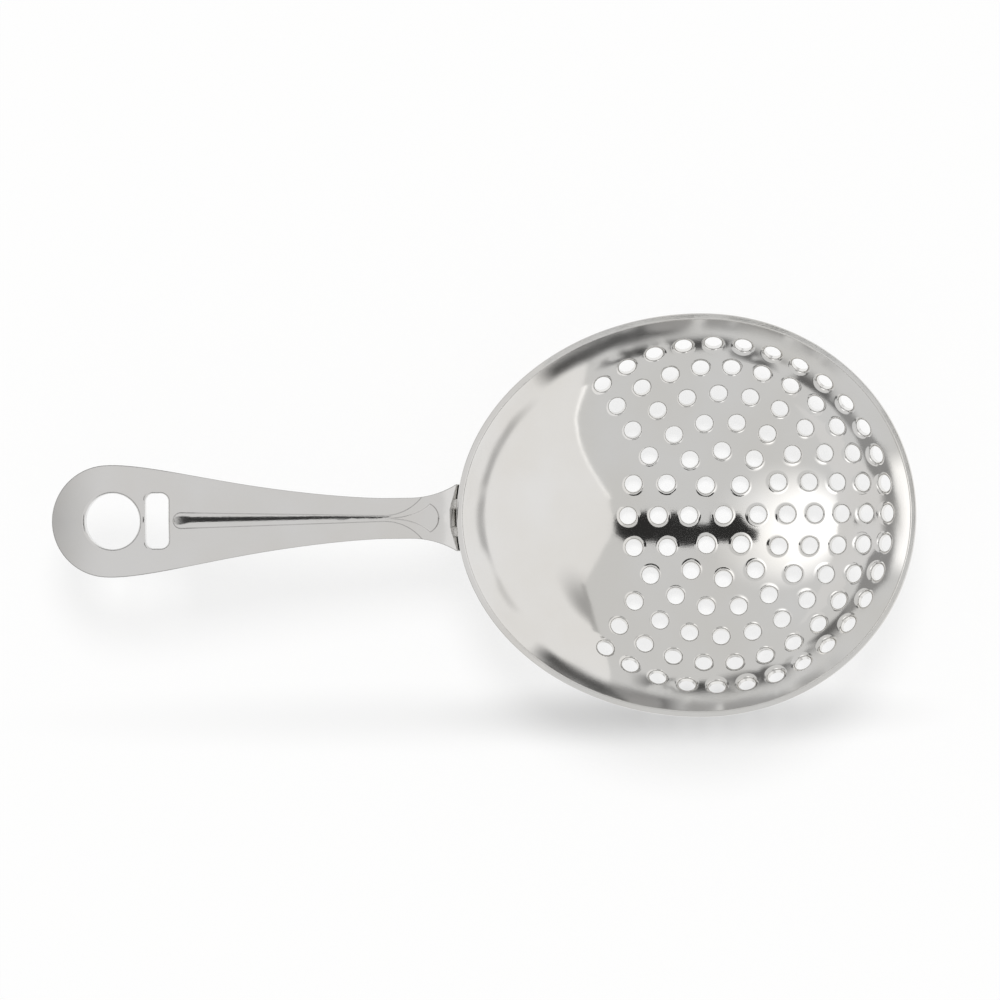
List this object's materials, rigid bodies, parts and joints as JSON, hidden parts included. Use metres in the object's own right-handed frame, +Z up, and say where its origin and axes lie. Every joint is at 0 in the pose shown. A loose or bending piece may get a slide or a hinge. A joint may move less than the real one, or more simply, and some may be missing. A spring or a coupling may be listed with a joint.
{
  "type": "julep strainer",
  "caption": "Flat-rimmed egg-shaped bowl pierced all over, with an arched paddle handle that has a round hanging eye and a cross slot.",
  "frame": {"origin": "centre of the bounding box in plan, at the lowest point of the bowl", "axes": "+X along the handle's midline towards the bowl's tip, +Y across, +Z up out of the open bowl"},
  "size_m": [0.1652, 0.0772, 0.0246],
  "materials": {
    "bowl_steel": "polished",
    "handle_steel": "polished",
    "weld_steel": "as welded"
  },
  "bodies": {
    "root": {"bowl": "bowl_steel", "handle": "handle_steel", "weld_tacks": "weld_steel"}
  },
  "joints": []
}
